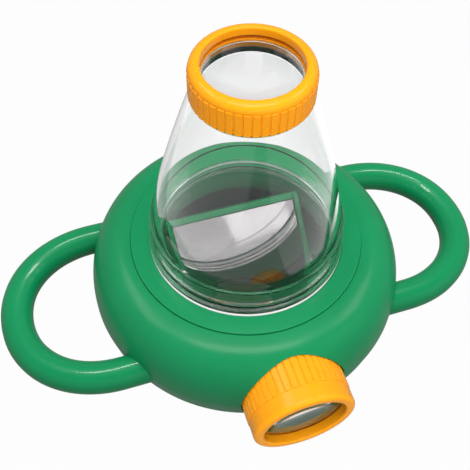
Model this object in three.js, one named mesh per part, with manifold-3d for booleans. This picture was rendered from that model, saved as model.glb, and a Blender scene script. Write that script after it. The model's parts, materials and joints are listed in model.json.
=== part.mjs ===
// Two-way insect viewer. A domed green housing with two loop handles carries a clear chamber with
// a magnifying eyepiece on top. A second eyepiece in the side of the housing looks at a mirror
// set at 45 degrees, which shows the chamber from below, through its clear floor.
// Millimetres, +Z up, X along the handles, the side eyepiece towards -Y. The origin is the middle
// of the flat underside, on the chamber's axis.

import * as THREE from 'three';
import { mergeVertices } from 'three/addons/utils/BufferGeometryUtils.js';
import Module from 'manifold-3d';

const wasm = await Module();
wasm.setup();

// Gap left between pieces that touch.
const clearance = 0.3;

// Lenses and the fluted rings that hold them.
const lensRadius = 18.2;
const lensEdge = 2.2;
const lensFrontBulge = 0.6;
const lensBackBulge = 2;
const ringWall = 2.2;
const lipOverlap = 1.7;
const lipBevel = 0.8;
const retainerThickness = 1.5;
const fluteCount = 46;
const fluteDepth = 0.6;
const fluteRise = 0.3;
const topRingLength = 12;
const topLipDepth = 3.1;
const topCrownWidth = 3;
const topCrownDepth = 2.6;
const sideRingLength = 20.8;
const sideRingReach = 10.25;
const sideLipDepth = 3.9;
const sideCrownWidth = 1.8;
const sideCrownDepth = 1.8;
const sideCollarLength = 7;
const groundGap = 0.6;

// Clear chamber and the clear cup that it plugs into.
const chamberRadius = 36.6;
const chamberWall = 1.8;
const chamberHeight = 71.5;
const chamberStraight = 9.5;
const chamberSwell = 13;
const chamberShoulder = 0.5;
const cupWall = 1.4;
const cupFloor = 2.4;
const cupCorner = 2;
const cupLedge = 1.3;
const cupSocketDepth = 9.3;
const cupFlangeWidth = 1;
const cupFlangeHeight = 4;
const cupSpigotDepth = 2;
const cupSpigotWall = 1.6;

// Seat ring: the raised ring on the deck, with the well below it.
const seatWidth = 7.1;
const seatPlate = 2.7;
const seatRecess = 0.7;
const seatStep = 0.8;
const seatShelf = 2.3;
const seatSpigotInset = 4;
const seatSpigotWall = 1.5;
const wellWall = 1.8;
const wellDepth = 16;

// Housing shells.
const housingRadius = 65;
const housingWall = 2.6;
const widestHeight = 20;
const seamHeight = 12;
const seamInset = 1.3;
const baseInset = 11;
const baseBevel = 0.8;
const floorThickness = 2.5;
const seamLipHeight = 2.4;
const seamLipWall = 2;
const deckHeadroom = 0.9;
const deckLedgeWidth = 6.5;
const ringOpeningGap = 0.5;

// Mirror and its bracket.
const mirrorWidth = 55;
const mirrorThickness = 2;
const bracketPlate = 1.5;
const bracketCheek = 2;
const bracketCap = 2.6;
const bracketRim = 1.2;
const bracketSillHeight = 3.4;
const bracketFootHeight = 4.8;
const bracketFootWidth = 10;
const bracketFootReach = 8;

// Side eyepiece tube.
const tubeWall = 1.8;
const tubePlate = 2.5;
const tubePlateGap = 0.9;
const slotRibHeight = 8;
const slotRibWidth = 2;

// Handles: each is a round bar bent to half of a rounded oval, with two straight ends.
const handleBar = 6.5;
const handleSpread = 33.85;
const handleReach = 37.1;
const handleStart = 61;
const handleRoundness = 2.1;
const handleEndInset = 28;
const handleScrewInset = 4;

// Screws and the posts that they run in.
const postRadius = 4;
const postSideOffset = 25.5;
const postRadialInset = 3.6;
const screwRadius = 1.4;
const screwHeadRadius = 2.8;
const screwHeadHeight = 1.8;
const screwHeadRounding = 0.8;
const screwHoleGap = 0.35;
const screwHeadDepth = 3;
const screwBite = 8;
const screwPointLength = 1.6;
const pilotExtra = 2;
const bracketScrewLength = 7;

// Facet counts.
const housingFacets = 44;
const chamberFacets = 36;
const smallFacets = 30;
const openingFacets = 28;
const barFacets = 12;
const handleSteps = 24;
const handlePathPoints = 24;
const postFacets = 8;
const screwFacets = 8;
const domeSteps = 6;
const domeInsideSteps = 3;
const chamberSteps = 4;
const lensSteps = 3;
const roundingSteps = 3;

// Radii and levels worked out from the sizes above.
const boreRadius = lensRadius + clearance;
const ringRadius = boreRadius + ringWall;
const apertureRadius = lensRadius - lipOverlap;
const lensStack = lensEdge + retainerThickness + 3 * clearance;
const axisHeight = ringRadius + groundGap;
const ledgeUnderside = axisHeight + lensRadius + deckHeadroom;
const pocketFloor = ledgeUnderside + housingWall;
const seatUnderside = pocketFloor + clearance;
const deckHeight = seatUnderside + seatPlate;
const domeTop = deckHeight - seatStep;
const cupInside = chamberRadius + clearance;
const cupOutside = cupInside + cupWall;
const cupFlangeRadius = cupOutside + cupFlangeWidth;
const seatRecessRadius = cupFlangeRadius + clearance;
const seatRadius = seatRecessRadius + seatWidth;
const wellRadius = cupFlangeRadius - seatShelf;
const pocketRadius = seatRadius + clearance;
const deckOpeningRadius = seatRadius - seatSpigotInset + clearance;
const cupBottom = deckHeight - seatRecess + clearance;
const cupFloorTop = cupBottom + cupFloor;
const cupLedgeHeight = cupFloorTop + cupCorner;
const cupTop = cupLedgeHeight + cupSocketDepth;
const chamberBottom = cupLedgeHeight + clearance;
const shoulderHeight = chamberBottom + chamberHeight;
const topRingFace = shoulderHeight + clearance + topRingLength;
const neckTop = topRingFace - topLipDepth - lensStack;
const seamRadius = housingRadius - seamInset;
const baseRadius = housingRadius - baseInset;
const shellBottom = seamHeight + clearance / 2;
const panTop = seamHeight - clearance / 2;
const handleEnd = handleStart - handleEndInset;
const handleScrewX = handleEnd + handleScrewInset;
const postOffset = Math.sqrt((baseRadius - postRadialInset) ** 2 - postSideOffset ** 2);
const tubeRear = wellRadius + wellWall + 2 * clearance;
const sideRingFace = housingRadius + sideRingReach;
const tubeFront = sideRingFace - sideLipDepth - lensStack;
const innerBaseRadius = baseRadius - housingWall / 2;
const tubePlateHalf = postSideOffset - postRadius - tubePlateGap;
const tubePlateFront = Math.sqrt((innerBaseRadius - clearance) ** 2 - tubePlateHalf ** 2);
const tubePlateRear = tubePlateFront - tubePlate;

// Points given as [radius, height] pairs become a profile for a turned piece.
function points(pairs) {
  return pairs.map(([x, y]) => new THREE.Vector2(x, y));
}

// A quarter of an ellipse about [x, y], from the angle `from` to `to`, as pairs.
function arc(x, y, width, height, from, to, steps) {
  return Array.from({ length: steps + 1 }, (_, i) => {
    const angle = from + ((to - from) * i) / steps;
    return [x + width * Math.cos(angle), y + height * Math.sin(angle)];
  });
}

// Closed mesh with shared corners, as the boolean library takes it. Triangles that shrank to a
// line on the axis of a turned piece are left out.
function solid(geometry) {
  const bare = geometry.clone();
  bare.deleteAttribute('normal');
  bare.deleteAttribute('uv');
  const merged = mergeVertices(bare, 1e-4);
  const index = merged.index.array;
  const kept = [];
  for (let i = 0; i < index.length; i += 3) {
    const [a, b, c] = index.slice(i, i + 3);
    if (a !== b && b !== c && c !== a) kept.push(a, b, c);
  }
  const mesh = new wasm.Mesh({
    numProp: 3,
    vertProperties: merged.attributes.position.array,
    triVerts: Uint32Array.from(kept),
  });
  return new wasm.Manifold(mesh);
}

function geometryOf(manifold) {
  const { vertProperties, triVerts } = manifold.getMesh();
  const geometry = new THREE.BufferGeometry();
  geometry.setAttribute('position', new THREE.BufferAttribute(vertProperties, 3));
  geometry.setIndex(new THREE.BufferAttribute(triVerts, 1));
  geometry.computeVertexNormals();
  return geometry;
}

// Turned piece about Z. The profile runs counter-clockwise with the radius to the right.
function turned(pairs, facets) {
  const geometry = new THREE.LatheGeometry(points(pairs), facets);
  geometry.rotateX(Math.PI / 2);
  return solid(geometry);
}

// Turned ring: the profile closes on itself away from the axis.
function turnedRing(pairs, facets) {
  return turned([...pairs, pairs[0]], facets);
}

// Round bar from one point to another.
function bar(radius, from, to, facets) {
  const start = new THREE.Vector3(...from);
  const along = new THREE.Vector3(...to).sub(start);
  const geometry = new THREE.CylinderGeometry(radius, radius, along.length(), facets);
  geometry.translate(0, along.length() / 2, 0);
  const turn = new THREE.Quaternion().setFromUnitVectors(
    new THREE.Vector3(0, 1, 0),
    along.normalize(),
  );
  geometry.applyQuaternion(turn);
  geometry.translate(...from);
  return solid(geometry);
}

function block([x0, y0, z0], [x1, y1, z1]) {
  const geometry = new THREE.BoxGeometry(x1 - x0, y1 - y0, z1 - z0);
  geometry.translate((x0 + x1) / 2, (y0 + y1) / 2, (z0 + z1) / 2);
  return solid(geometry);
}

// Prism along X from a side outline of [y, z] pairs.
function sidePrism(outline, x0, x1) {
  const shape = new THREE.Shape(points(outline));
  const geometry = new THREE.ExtrudeGeometry(shape, { depth: x1 - x0, bevelEnabled: false });
  // The shape's x and y become Y and Z, and the depth becomes X.
  geometry.applyMatrix4(
    new THREE.Matrix4().set(0, 0, 1, x0, 1, 0, 0, 0, 0, 1, 0, 0, 0, 0, 0, 1),
  );
  return solid(geometry);
}

function joined(pieces) {
  return pieces.reduce((whole, piece) => whole.add(piece));
}

// The four corners of a rectangle about the Z axis.
function corners(x, y) {
  return [[x, y], [-x, y], [-x, -y], [x, -y]];
}

// Finishes.
const greenPlastic = new THREE.MeshStandardMaterial({ color: 0x1ea362, roughness: 0.32 });
const yellowPlastic = new THREE.MeshStandardMaterial({ color: 0xfdb423, roughness: 0.36 });
const clearPlastic = new THREE.MeshStandardMaterial({
  color: 0xf2f6f6, roughness: 0.05, transparent: true, opacity: 0.3,
});
const lensPlastic = new THREE.MeshStandardMaterial({
  color: 0xeeeef4, roughness: 0.03, transparent: true, opacity: 0.4,
});
const mirrorSilver = new THREE.MeshStandardMaterial({
  color: 0xd8d8de, roughness: 0.04, metalness: 1,
});
const screwSteel = new THREE.MeshStandardMaterial({
  color: 0xb4b6b8, roughness: 0.3, metalness: 1,
});

function piece(name, manifold, material) {
  const mesh = new THREE.Mesh(geometryOf(manifold), material);
  mesh.name = name;
  return mesh;
}

// Fluted eyepiece ring in its own frame: the face is at z = 0 and the ring runs down to -length.
// A rounded crown and a plain collar come first, and the flutes run on to the back.
function eyepieceRing({ length, lipDepth, crownWidth, crownDepth, collarLength }) {
  const collarRadius = ringRadius - fluteRise;
  const crownStart = collarRadius - crownWidth;
  const profile = [
    [apertureRadius, -lipDepth],
    [boreRadius, -lipDepth],
    [boreRadius, -length],
    [ringRadius, -length],
    [ringRadius, -collarLength - fluteRise],
    [collarRadius, -collarLength],
    ...arc(crownStart, -crownDepth, crownWidth, crownDepth, 0, Math.PI / 2, roundingSteps),
    [apertureRadius + lipBevel, 0],
    [apertureRadius, -lipBevel],
  ];
  const body = turnedRing(profile, fluteCount);
  const grooves = Array.from({ length: fluteCount }, (_, i) => {
    const angle = (2 * Math.PI * i) / fluteCount;
    const x = ringRadius * Math.sin(angle);
    const y = ringRadius * Math.cos(angle);
    const groove = new THREE.CylinderGeometry(fluteDepth, fluteDepth, length, 4);
    groove.rotateX(Math.PI / 2);
    groove.rotateZ(-angle);
    groove.translate(x, y, -collarLength - fluteRise - length / 2);
    return solid(groove);
  });
  return body.subtract(joined(grooves));
}

// Lens in the frame of its ring, with a flat rim, a nearly flat front and a domed back.
function lens(lipDepth) {
  const front = -lipDepth - clearance;
  const back = front - lensEdge;
  const domeRadius = apertureRadius - clearance;
  return turned([
    ...arc(0, back, domeRadius, -lensBackBulge, Math.PI / 2, 0, lensSteps),
    [lensRadius, back],
    [lensRadius, front],
    ...arc(0, front, domeRadius, lensFrontBulge, 0, Math.PI / 2, lensSteps),
  ], smallFacets);
}

// Snap ring that keeps the lens in its ring.
function lensRetainer(lipDepth) {
  const front = -lipDepth - lensEdge - 2 * clearance;
  const back = front - retainerThickness;
  return turnedRing([
    [apertureRadius, back],
    [lensRadius, back],
    [lensRadius, front],
    [apertureRadius, front],
  ], smallFacets);
}

// The three pieces of an eyepiece, in a group whose +Z is the way that the eyepiece faces.
function eyepiece(prefix, ring) {
  const group = new THREE.Group();
  group.add(
    piece(`${prefix}_lens_ring`, eyepieceRing(ring), yellowPlastic),
    piece(`${prefix}_lens`, lens(ring.lipDepth), lensPlastic),
    piece(`${prefix}_lens_retainer`, lensRetainer(ring.lipDepth), yellowPlastic),
  );
  return group;
}

// Side of the clear chamber between its straight foot and its shoulder, inset by the wall.
function chamberSide(inset) {
  const foot = new THREE.Vector2(chamberRadius - inset, chamberBottom + chamberStraight);
  const swell = new THREE.Vector2(foot.x, foot.y + chamberSwell);
  const shoulder = new THREE.Vector2(
    ringRadius + chamberShoulder - inset,
    shoulderHeight - inset,
  );
  const curve = new THREE.QuadraticBezierCurve(foot, swell, shoulder);
  return curve.getPoints(chamberSteps).map((p) => [p.x, p.y]);
}

function viewingChamber() {
  const neckInside = lensRadius - chamberWall;
  return turnedRing([
    [chamberRadius - chamberWall, chamberBottom],
    [chamberRadius, chamberBottom],
    ...chamberSide(0),
    [lensRadius, shoulderHeight],
    [lensRadius, neckTop],
    [neckInside, neckTop],
    [neckInside, shoulderHeight - chamberWall],
    ...chamberSide(chamberWall).reverse(),
  ], chamberFacets);
}

function chamberCup() {
  const spigotRadius = wellRadius - clearance;
  const cornerRadius = cupInside - cupLedge;
  return turned([
    [0, cupBottom],
    [spigotRadius - cupSpigotWall, cupBottom],
    [spigotRadius - cupSpigotWall, cupBottom - cupSpigotDepth],
    [spigotRadius, cupBottom - cupSpigotDepth],
    [spigotRadius, cupBottom],
    [cupFlangeRadius, cupBottom],
    [cupFlangeRadius, cupBottom + cupFlangeHeight],
    [cupOutside, cupBottom + cupFlangeHeight],
    [cupOutside, cupTop],
    [cupInside, cupTop],
    [cupInside, cupLedgeHeight],
    ...arc(
      cornerRadius - cupCorner, cupLedgeHeight, cupCorner, -cupCorner,
      0, Math.PI / 2, roundingSteps,
    ),
    [0, cupFloorTop],
  ], chamberFacets);
}

function seatRing() {
  const spigotRadius = deckOpeningRadius - clearance;
  const shelf = deckHeight - seatRecess;
  const ring = turnedRing([
    [wellRadius, deckHeight - wellDepth],
    [wellRadius + wellWall, deckHeight - wellDepth],
    [wellRadius + wellWall, shelf - seatPlate],
    [spigotRadius - seatSpigotWall, shelf - seatPlate],
    [spigotRadius - seatSpigotWall, ledgeUnderside],
    [spigotRadius, ledgeUnderside],
    [spigotRadius, seatUnderside],
    [seatRadius, seatUnderside],
    [seatRadius, deckHeight],
    [seatRecessRadius, deckHeight],
    [seatRecessRadius, shelf],
    [wellRadius, shelf],
  ], housingFacets);
  const window = bar(
    lensRadius - tubeWall + clearance,
    [0, 0, axisHeight],
    [0, -tubeRear, axisHeight],
    smallFacets,
  );
  return ring.subtract(window);
}

// Form of the upper shell, less `inset`: a short draft to the widest line, then the dome.
function domeForm(inset, steps) {
  const width = housingRadius - pocketRadius - clearance;
  return turned([
    [0, shellBottom],
    [seamRadius - inset, shellBottom],
    ...arc(
      housingRadius - width, widestHeight, width - inset, domeTop - widestHeight - inset,
      0, Math.PI / 2, steps,
    ),
    [0, domeTop - inset],
  ], housingFacets);
}

// Where the side ring, and the ends of the handles, pass through the shells.
function sideRingOpening() {
  return bar(
    ringRadius + ringOpeningGap,
    [0, -(sideRingFace - sideRingLength - ringOpeningGap), axisHeight],
    [0, -2 * housingRadius, axisHeight],
    openingFacets,
  );
}

function handleHoles() {
  const reach = housingRadius + handleReach;
  return joined([-handleSpread, handleSpread].map((y) => bar(
    handleBar + clearance,
    [-reach, y, widestHeight],
    [reach, y, widestHeight],
    barFacets,
  )));
}

function housingPosts(radius, bottom, top) {
  return joined(corners(postSideOffset, postOffset).map(([x, y]) => bar(
    radius, [x, y, bottom], [x, y, top], postFacets,
  )));
}

function upperHousing() {
  const outside = domeForm(0, domeSteps);
  const inside = domeForm(housingWall, domeInsideSteps);
  const ledge = turnedRing([
    [deckOpeningRadius, ledgeUnderside],
    [deckOpeningRadius + deckLedgeWidth, ledgeUnderside],
    [deckOpeningRadius + deckLedgeWidth, domeTop],
    [deckOpeningRadius, domeTop],
  ], housingFacets);
  const posts = housingPosts(postRadius, shellBottom, domeTop).intersect(outside);
  const pocket = turned([
    [0, shellBottom],
    [deckOpeningRadius, shellBottom],
    [deckOpeningRadius, pocketFloor],
    [pocketRadius, pocketFloor],
    [pocketRadius, deckHeight],
    [0, deckHeight],
  ], housingFacets);
  const pilots = housingPosts(screwRadius, 0, shellBottom + screwBite + pilotExtra);
  const wall = outside.subtract(inside).add(ledge)
    .subtract(sideRingOpening())
    .subtract(handleHoles());
  return wall.add(posts).subtract(pocket).subtract(pilots);
}

function lowerHousing() {
  const lipRadius = seamRadius - housingWall - clearance;
  const pan = turned([
    [0, 0],
    [baseRadius - baseBevel, 0],
    [baseRadius, baseBevel],
    [seamRadius, panTop],
    [lipRadius, panTop],
    [lipRadius, panTop + seamLipHeight],
    [lipRadius - seamLipWall, panTop + seamLipHeight],
    [lipRadius - seamLipWall, panTop - seamLipWall],
    [innerBaseRadius, floorThickness],
    [0, floorThickness],
  ], housingFacets);
  const footScrewX = bracketFootX();
  const bosses = [
    housingPosts(postRadius, floorThickness / 2, panTop),
    ...corners(handleScrewX, handleSpread).map(([x, y]) => bar(
      postRadius,
      [x, y, floorThickness / 2],
      [x, y, widestHeight - handleBar - clearance],
      postFacets,
    )),
    ...[-footScrewX, footScrewX].map((x) => bar(
      postRadius,
      [x, 0, floorThickness / 2],
      [x, 0, floorThickness + bracketFootHeight],
      postFacets,
    )),
  ];
  const slotRibs = [tubePlateRear - clearance - slotRibWidth, tubePlateFront + clearance]
    .map((y) => block(
      [-lensRadius, -y - slotRibWidth, floorThickness / 2],
      [lensRadius, -y, floorThickness + slotRibHeight],
    ));
  const tubePath = bar(
    lensRadius + clearance, [0, 0, axisHeight], [0, -housingRadius, axisHeight], smallFacets,
  );
  const holes = corners(postSideOffset, postOffset)
    .concat(corners(handleScrewX, handleSpread))
    .flatMap(([x, y]) => [
      bar(screwRadius + screwHoleGap, [x, y, -1], [x, y, deckHeight], screwFacets),
      bar(screwHeadRadius + screwHoleGap, [x, y, -1], [x, y, screwHeadDepth], postFacets),
    ]);
  const pilots = [-footScrewX, footScrewX].map((x) => bar(
    screwRadius, [x, 0, floorThickness / 2], [x, 0, deckHeight], screwFacets,
  ));
  return pan.add(joined([...bosses, ...slotRibs]))
    .subtract(tubePath)
    .subtract(sideRingOpening())
    .subtract(handleHoles())
    .subtract(joined([...holes, ...pilots]));
}

// Round bar along half of a rounded oval, with straight ends that enter the housing at +X.
function handle() {
  const path = new THREE.CurvePath();
  const bend = Array.from({ length: handlePathPoints + 1 }, (_, i) => {
    const angle = -Math.PI / 2 + (Math.PI * i) / handlePathPoints;
    const power = 2 / handleRoundness;
    return new THREE.Vector3(
      handleStart + handleReach * Math.cos(angle) ** power,
      Math.sign(angle) * handleSpread * Math.abs(Math.sin(angle)) ** power,
      0,
    );
  });
  const first = new THREE.Vector3(handleEnd, -handleSpread, 0);
  const last = new THREE.Vector3(handleEnd, handleSpread, 0);
  path.add(new THREE.LineCurve3(first, bend[0]));
  path.add(new THREE.CatmullRomCurve3(bend, false, 'centripetal'));
  path.add(new THREE.LineCurve3(bend[bend.length - 1], last));
  const section = new THREE.Shape().absarc(0, 0, handleBar, 0, 2 * Math.PI);
  const geometry = new THREE.ExtrudeGeometry(section, {
    steps: handleSteps, curveSegments: barFacets / 2, extrudePath: path,
  });
  const pilots = [-handleSpread, handleSpread].map((y) => bar(
    screwRadius,
    [handleScrewX, y, -2 * handleBar],
    [handleScrewX, y, handleBar / 2],
    screwFacets,
  ));
  return solid(geometry).subtract(joined(pilots));
}

// Place along the mirror's slope and out from its face, as a [y, z] pair.
function onMirror(along, out) {
  const step = Math.SQRT1_2;
  return [(along - out) * step, axisHeight + (along + out) * step];
}

// Half the width of the bracket, and how far up and down the slope its parts go. The upper
// corners of the bracket lie just inside the well.
function mirrorLayout() {
  const cheekInside = mirrorWidth / 2 + clearance;
  const cheekOutside = cheekInside + bracketCheek;
  const back = mirrorThickness + clearance + bracketPlate;
  const cornerRadius = wellRadius - clearance;
  const reach = Math.sqrt(cornerRadius ** 2 - cheekOutside ** 2);
  const capEnd = reach * Math.SQRT2 - back;
  const mirrorUpper = capEnd - bracketCap - clearance;
  const drop = floorThickness + clearance - axisHeight;
  const mirrorLower = drop * Math.SQRT2 + mirrorThickness;
  return { cheekInside, cheekOutside, back, reach, capEnd, mirrorUpper, mirrorLower };
}

function bracketFootX() {
  return mirrorLayout().cheekOutside + bracketFootReach / 2;
}

function mirror() {
  const { mirrorUpper, mirrorLower } = mirrorLayout();
  return sidePrism([
    onMirror(mirrorLower, 0),
    onMirror(mirrorLower, -mirrorThickness),
    onMirror(mirrorUpper, -mirrorThickness),
    onMirror(mirrorUpper, 0),
  ], -mirrorWidth / 2, mirrorWidth / 2);
}

function mirrorBracket() {
  const { cheekInside, cheekOutside, back, reach, capEnd, mirrorLower } = mirrorLayout();
  const floor = floorThickness + clearance;
  const plateFront = mirrorThickness + clearance;
  const plateLow = (floor - axisHeight) * Math.SQRT2;
  const capStart = capEnd - bracketCap;
  const ramp = sidePrism([
    onMirror(plateLow + back, -back),
    onMirror(capEnd, -back),
    onMirror(capEnd, 0),
    onMirror(capStart, 0),
    onMirror(capStart, -plateFront),
    onMirror(plateLow + plateFront, -plateFront),
  ], -cheekOutside, cheekOutside);
  const sillBack = onMirror(mirrorLower, 0)[0] - clearance;
  const sill = block(
    [-cheekOutside, sillBack - bracketCheek, floor],
    [cheekOutside, sillBack, floor + bracketSillHeight],
  );
  const cheekOutline = [
    [sillBack - bracketCheek, floor],
    [reach - clearance, floor],
    onMirror(capEnd, -back),
    onMirror(capEnd, 0),
    onMirror(capEnd - bracketRim, bracketRim),
    [sillBack, axisHeight + sillBack + bracketRim * Math.SQRT2],
    [sillBack - bracketCheek, floor + bracketSillHeight],
  ];
  const cheeks = [[-cheekOutside, -cheekInside], [cheekInside, cheekOutside]]
    .map(([x0, x1]) => sidePrism(cheekOutline, x0, x1));
  const footBottom = floorThickness + bracketFootHeight + clearance;
  const feet = [-1, 1].map((side) => {
    const inner = side * (cheekInside + bracketCheek / 2);
    const outer = side * (cheekOutside + bracketFootReach);
    return block(
      [Math.min(inner, outer), -bracketFootWidth / 2, footBottom],
      [Math.max(inner, outer), bracketFootWidth / 2, footBottom + bracketCheek],
    );
  });
  const footScrewX = bracketFootX();
  const holes = [-footScrewX, footScrewX].map((x) => bar(
    screwRadius + screwHoleGap, [x, 0, 0], [x, 0, axisHeight], screwFacets,
  ));
  return joined([ramp, sill, ...cheeks, ...feet]).subtract(joined(holes));
}

// Barrel that the side ring screws on to, with a plate that stands in a slot of the floor.
function eyepieceTube() {
  const barrel = bar(
    lensRadius, [0, -tubeRear, axisHeight], [0, -tubeFront, axisHeight], smallFacets,
  );
  const plate = block(
    [-tubePlateHalf, -tubePlateFront, floorThickness + clearance],
    [tubePlateHalf, -tubePlateRear, axisHeight],
  );
  const hole = bar(
    lensRadius - tubeWall, [0, 0, axisHeight], [0, -sideRingFace, axisHeight], smallFacets,
  );
  return barrel.add(plate).subtract(hole);
}

// Pan-head screw with its tip up: the head rests against z = 0 from below.
function screw(length) {
  return turned([
    [0, -screwHeadHeight],
    [screwHeadRadius - screwHeadRounding, -screwHeadHeight],
    [screwHeadRadius, screwHeadRounding - screwHeadHeight],
    [screwHeadRadius, 0],
    [screwRadius - clearance / 2, 0],
    [screwRadius - clearance / 2, length - screwPointLength],
    [0, length],
  ], screwFacets);
}

// Screws of one kind, one at each place, with the underside of the head at `seat`.
function screws(name, places, length, seat, pointsDown) {
  return places.map(([x, y], i) => {
    const mesh = piece(`${name}_${i + 1}`, screw(length), screwSteel);
    mesh.position.set(x, y, seat);
    if (pointsDown) mesh.rotation.x = Math.PI;
    return mesh;
  });
}

function housingBody() {
  const body = new THREE.Group();
  const headSeat = screwHeadDepth - clearance;
  const postScrewLength = shellBottom + screwBite - headSeat;
  const handleScrewLength = widestHeight - headSeat;
  const footTop = floorThickness + bracketFootHeight + clearance + bracketCheek;
  const rightHandle = piece('right_handle', handle(), greenPlastic);
  const leftHandle = piece('left_handle', handle(), greenPlastic);
  const bracketScrewPlaces = [[-bracketFootX(), 0], [bracketFootX(), 0]];
  rightHandle.position.z = widestHeight;
  leftHandle.position.z = widestHeight;
  leftHandle.rotation.z = Math.PI;
  body.add(
    piece('upper_housing', upperHousing(), greenPlastic),
    piece('lower_housing', lowerHousing(), greenPlastic),
    rightHandle,
    leftHandle,
    piece('seat_ring', seatRing(), greenPlastic),
    piece('chamber_cup', chamberCup(), clearPlastic),
    piece('mirror', mirror(), mirrorSilver),
    piece('mirror_bracket', mirrorBracket(), greenPlastic),
    piece('eyepiece_tube', eyepieceTube(), greenPlastic),
    ...screws(
      'housing_screw', corners(postSideOffset, postOffset), postScrewLength, headSeat, false,
    ),
    ...screws(
      'handle_screw', corners(handleScrewX, handleSpread), handleScrewLength, headSeat, false,
    ),
    ...screws('bracket_screw', bracketScrewPlaces, bracketScrewLength, footTop + clearance, true),
  );
  return body;
}

const chamberBody = new THREE.Group();
const topEyepiece = eyepiece('top', {
  length: topRingLength,
  lipDepth: topLipDepth,
  crownWidth: topCrownWidth,
  crownDepth: topCrownDepth,
  collarLength: topCrownDepth + clearance,
});
topEyepiece.position.z = topRingFace;
chamberBody.add(piece('viewing_chamber', viewingChamber(), clearPlastic), topEyepiece);

const sideEyepiece = eyepiece('side', {
  length: sideRingLength,
  lipDepth: sideLipDepth,
  crownWidth: sideCrownWidth,
  crownDepth: sideCrownDepth,
  collarLength: sideCollarLength,
});
sideEyepiece.position.set(0, -sideRingFace, axisHeight);
sideEyepiece.rotation.x = Math.PI / 2;

const group = new THREE.Group();
group.add(housingBody(), chamberBody, sideEyepiece);

export default group;
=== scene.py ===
"""Looks of a two-way insect viewer.

A domed green housing with two loop handles carries a clear tapered chamber. A fluted yellow eyepiece
closes the chamber's neck, and a second one in the housing's side looks at a mirror under the chamber's
clear floor. Sizes are in millimetres, as on a drawing, and MM turns them into metres.
"""

import json
import logging
import math
from collections.abc import Callable, Iterator
from contextlib import contextmanager
from dataclasses import dataclass, replace
from enum import Enum
from itertools import pairwise

import bmesh
import bpy
from mathutils import Matrix, Vector

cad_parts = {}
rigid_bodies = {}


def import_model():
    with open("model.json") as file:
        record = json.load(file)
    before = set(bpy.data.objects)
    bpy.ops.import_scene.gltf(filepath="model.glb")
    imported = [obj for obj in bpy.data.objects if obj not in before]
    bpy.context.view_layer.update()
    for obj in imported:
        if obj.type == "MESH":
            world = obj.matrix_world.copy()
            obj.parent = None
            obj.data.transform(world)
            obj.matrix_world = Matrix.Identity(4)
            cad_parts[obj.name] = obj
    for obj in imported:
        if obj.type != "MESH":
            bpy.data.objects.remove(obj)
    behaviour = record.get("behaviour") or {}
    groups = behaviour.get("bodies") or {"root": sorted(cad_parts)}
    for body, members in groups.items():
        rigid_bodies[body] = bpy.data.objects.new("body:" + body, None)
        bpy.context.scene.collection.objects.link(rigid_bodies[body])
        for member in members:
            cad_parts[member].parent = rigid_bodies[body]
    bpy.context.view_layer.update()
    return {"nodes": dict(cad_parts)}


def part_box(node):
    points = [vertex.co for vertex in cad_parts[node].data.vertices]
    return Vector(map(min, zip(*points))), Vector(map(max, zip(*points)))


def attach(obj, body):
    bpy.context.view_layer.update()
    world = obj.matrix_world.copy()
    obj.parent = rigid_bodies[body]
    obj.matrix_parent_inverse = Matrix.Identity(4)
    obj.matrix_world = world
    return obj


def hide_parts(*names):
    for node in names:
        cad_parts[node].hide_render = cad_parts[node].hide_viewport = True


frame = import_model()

LOG = logging.getLogger("insect_viewer")
MM = 0.001
WELD = 0.001 * MM

Piece = bpy.types.Object
Material = bpy.types.Material
Socket = bpy.types.NodeSocket
Element = bmesh.types.BMVert | bmesh.types.BMFace
Values = dict[str | int, object]
Colour = tuple[float, float, float]
Span = tuple[float, float]
Places = tuple[Span, ...]

UNIT: Span = (0.0, 1.0)
NOISE_MIDDLE: Span = (0.3, 0.7)
UPRIGHT_SLOPE = 0.1


class Body(Enum):
    """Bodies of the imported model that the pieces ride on."""

    HOUSING = "housing"
    CHAMBER = "chamber"
    TOP_SEAT = "top_lens_seat"
    TOP_RING = "top_ring"
    SIDE_SEAT = "side_lens_seat"
    SIDE_RING = "side_ring"


class Slot(Enum):
    """Material slots of the record."""

    GREEN = "green_plastic"
    YELLOW = "yellow_plastic"
    CLEAR = "clear_plastic"
    LENS = "lens_plastic"
    MIRROR = "mirror_silver"
    STEEL = "screw_steel"


class Tool(Enum):
    """What a tool does to a piece."""

    CUT = "DIFFERENCE"
    JOIN = "UNION"


class Part(Enum):
    """Parts of a mesh."""

    VERTEX = "VERT"
    FACE = "FACE"


class Sum(Enum):
    """Ways to put two values of a shader together."""

    ADD = "ADD"
    LESS = "SUBTRACT"
    TIMES = "MULTIPLY"


# Bench: the ways in which every piece is shaped.


def clear_selection() -> None:
    """Deselects every object."""
    bpy.ops.object.select_all(action="DESELECT")


def take(piece: Piece) -> None:
    """Selects one piece alone and makes it the active one.

    Args:
        piece: The piece to work on.
    """
    clear_selection()
    piece.select_set(True)
    bpy.context.view_layer.objects.active = piece


@contextmanager
def editing(piece: Piece) -> Iterator[None]:
    """Holds a piece in edit mode.

    Args:
        piece: The piece to edit.
    """
    take(piece)
    bpy.ops.object.mode_set(mode="EDIT")
    try:
        yield
    finally:
        bpy.ops.object.mode_set(mode="OBJECT")


def pick(piece: Piece, part: Part, wanted: Callable[[Element], bool]) -> None:
    """Selects the vertices or the faces that pass a test.

    Args:
        piece: The piece in edit mode.
        part: Vertices or faces.
        wanted: Says whether one of them is selected.
    """
    bpy.ops.mesh.select_mode(type=part.value)
    bpy.ops.mesh.select_all(action="DESELECT")
    mesh = bmesh.from_edit_mesh(piece.data)
    for element in mesh.verts if part is Part.VERTEX else mesh.faces:
        element.select = wanted(element)
    mesh.select_flush_mode()
    bmesh.update_edit_mesh(piece.data)


def close_up() -> None:
    """Merges the doubles of the piece in edit mode and turns its faces outwards."""
    bpy.ops.mesh.select_all(action="SELECT")
    bpy.ops.mesh.remove_doubles(threshold=WELD)
    bpy.ops.mesh.normals_make_consistent(inside=False)


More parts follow.
